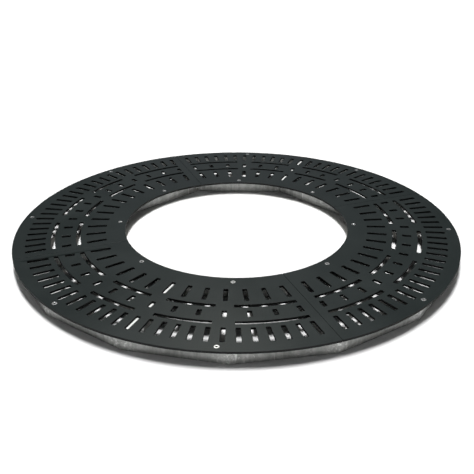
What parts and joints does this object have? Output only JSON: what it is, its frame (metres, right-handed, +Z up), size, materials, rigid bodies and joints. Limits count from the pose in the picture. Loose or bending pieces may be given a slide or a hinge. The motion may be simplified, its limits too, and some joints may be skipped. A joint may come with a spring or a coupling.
{
  "type": "tree grate",
  "caption": "Round street tree grate: slotted black steel plates with a round tree opening, screwed down on a galvanised bar frame that splits in two.",
  "frame": {"origin": "middle of the tree opening, on the ground", "axes": "+Z up; the plate seams lie along X and Y; the frame splits along the diagonal between +X and +Y"},
  "size_m": [1.5, 1.5, 0.047],
  "materials": {
    "plate_coat": "black-grey powder coat, satin, slightly textured",
    "galvanised_bar": "hot-dip galvanised, dull, faintly spangled",
    "zinc_fastener": "zinc plated, satin"
  },
  "bodies": {
    "frame": {"rim_bar_01": "galvanised_bar", "rim_bar_02": "galvanised_bar", "rim_bar_03": "galvanised_bar", "rim_bar_04": "galvanised_bar", "rim_bar_05": "galvanised_bar", "rim_bar_06": "galvanised_bar", "rim_bar_07": "galvanised_bar", "rim_bar_08": "galvanised_bar", "rim_bar_09": "galvanised_bar", "rim_bar_10": "galvanised_bar", "rim_bar_11": "galvanised_bar", "rim_bar_12": "galvanised_bar", "rim_bar_13": "galvanised_bar", "rim_bar_14": "galvanised_bar", "rim_bar_15": "galvanised_bar", "rim_bar_16": "galvanised_bar", "ring_bar_1": "galvanised_bar", "ring_bar_2": "galvanised_bar", "ring_bar_3": "galvanised_bar", "ring_bar_4": "galvanised_bar", "ring_bar_5": "galvanised_bar", "ring_bar_6": "galvanised_bar", "ring_bar_7": "galvanised_bar", "ring_bar_8": "galvanised_bar", "seam_bar_1": "galvanised_bar", "seam_bar_2": "galvanised_bar", "seam_bar_3": "galvanised_bar", "seam_bar_4": "galvanised_bar", "joint_bar_1a": "galvanised_bar", "joint_bar_1b": "galvanised_bar", "joint_bar_2a": "galvanised_bar", "joint_bar_2b": "galvanised_bar", "joint_bolts_1": "zinc_fastener", "joint_bolts_2": "zinc_fastener", "joint_washers_1": "zinc_fastener", "joint_washers_2": "zinc_fastener", "joint_nuts_1": "zinc_fastener", "joint_nuts_2": "zinc_fastener"},
    "plate_1": {"plate_1": "plate_coat", "plate_screws_1": "zinc_fastener"},
    "plate_2": {"plate_2": "plate_coat", "plate_screws_2": "zinc_fastener"},
    "plate_3": {"plate_3": "plate_coat", "plate_screws_3": "zinc_fastener"},
    "plate_4": {"plate_4": "plate_coat", "plate_screws_4": "zinc_fastener"}
  },
  "joints": [
    {"name": "plate_1_lift", "type": "slide", "parent": "frame", "child": "plate_1", "axis": [0, 0, 1], "range_m": [0, 0.06]},
    {"name": "plate_2_lift", "type": "slide", "parent": "frame", "child": "plate_2", "axis": [0, 0, 1], "range_m": [0, 0.06]},
    {"name": "plate_3_lift", "type": "slide", "parent": "frame", "child": "plate_3", "axis": [0, 0, 1], "range_m": [0, 0.06]},
    {"name": "plate_4_lift", "type": "slide", "parent": "frame", "child": "plate_4", "axis": [0, 0, 1], "range_m": [0, 0.06]}
  ]
}
